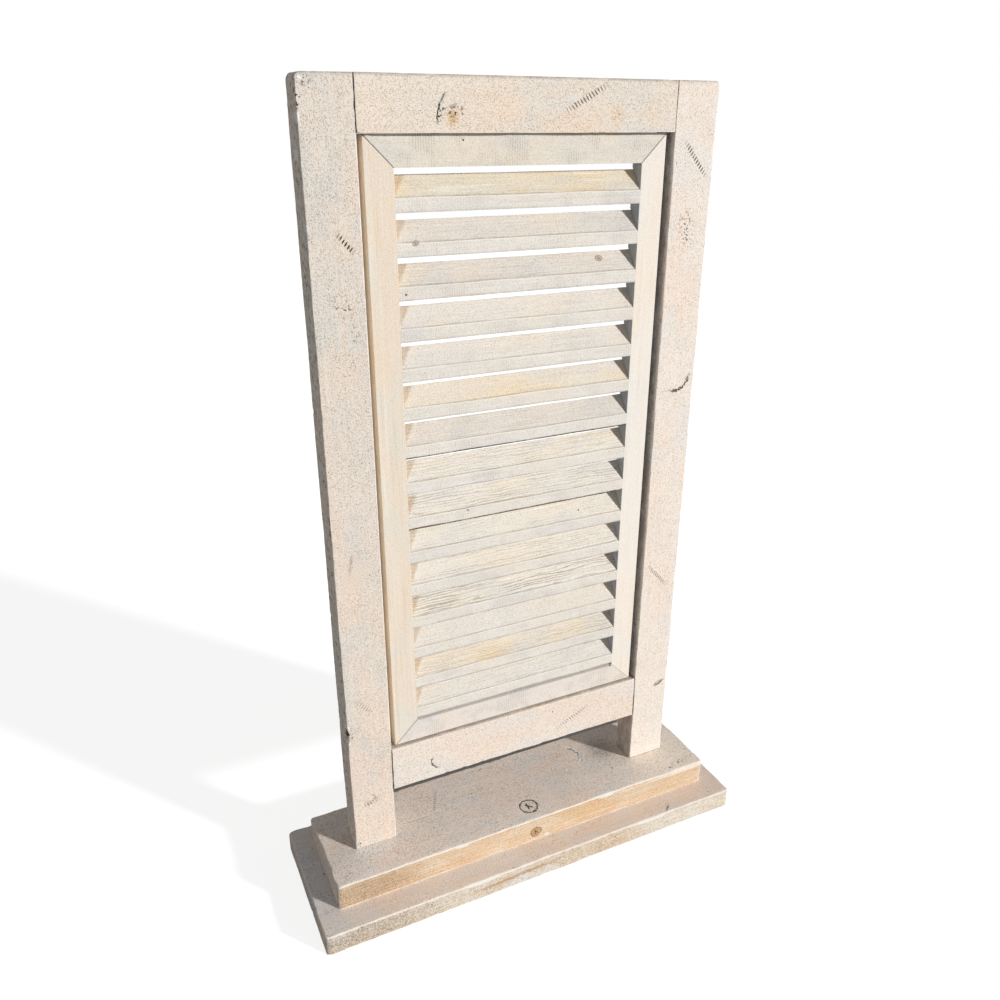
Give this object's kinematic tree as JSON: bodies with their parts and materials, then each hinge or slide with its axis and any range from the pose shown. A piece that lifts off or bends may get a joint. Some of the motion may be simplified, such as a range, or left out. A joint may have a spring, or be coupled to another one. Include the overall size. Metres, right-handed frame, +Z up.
{
  "type": "louvred shutter",
  "caption": "Free-standing timber shutter: a mitred panel of fixed slanting slats in a two-post frame on a stepped rectangular plinth.",
  "frame": {"origin": "on the ground, at the centre of the underside of the lower plinth board", "axes": "+X to the right seen from the front, +Y to the back, +Z up; the slats' low edges face the front, -Y"},
  "size_m": [0.5, 0.16, 0.804],
  "materials": {
    "frame_timber": "whitewashed pine, pinkish beige, pitted and dented",
    "panel_timber": "whitewashed pine, cream, matt",
    "slat_timber": "whitewashed pine with rough-sawn front faces",
    "plinth_timber": "thin greyish wash over knotty pine, worn at the arrises",
    "dowel_beech": "plain turned beech",
    "nail_steel": "plain rolled strip",
    "screw_steel": "zinc plated"
  },
  "bodies": {
    "root": {"left_post": "frame_timber", "right_post": "frame_timber", "top_rail": "frame_timber", "bottom_rail": "frame_timber", "left_stile": "panel_timber", "right_stile": "panel_timber", "panel_top_rail": "panel_timber", "panel_bottom_rail": "panel_timber", "slat_01": "slat_timber", "slat_02": "slat_timber", "slat_03": "slat_timber", "slat_04": "slat_timber", "slat_05": "slat_timber", "slat_06": "slat_timber", "slat_07": "slat_timber", "slat_08": "slat_timber", "slat_09": "slat_timber", "slat_10": "slat_timber", "slat_11": "slat_timber", "slat_12": "slat_timber", "slat_13": "slat_timber", "slat_14": "slat_timber", "slat_15": "slat_timber", "lower_plinth": "plinth_timber", "upper_plinth": "plinth_timber", "panel_dowels": "dowel_beech", "mitre_nails": "nail_steel", "post_screws": "screw_steel", "plinth_screws": "screw_steel"}
  },
  "joints": []
}
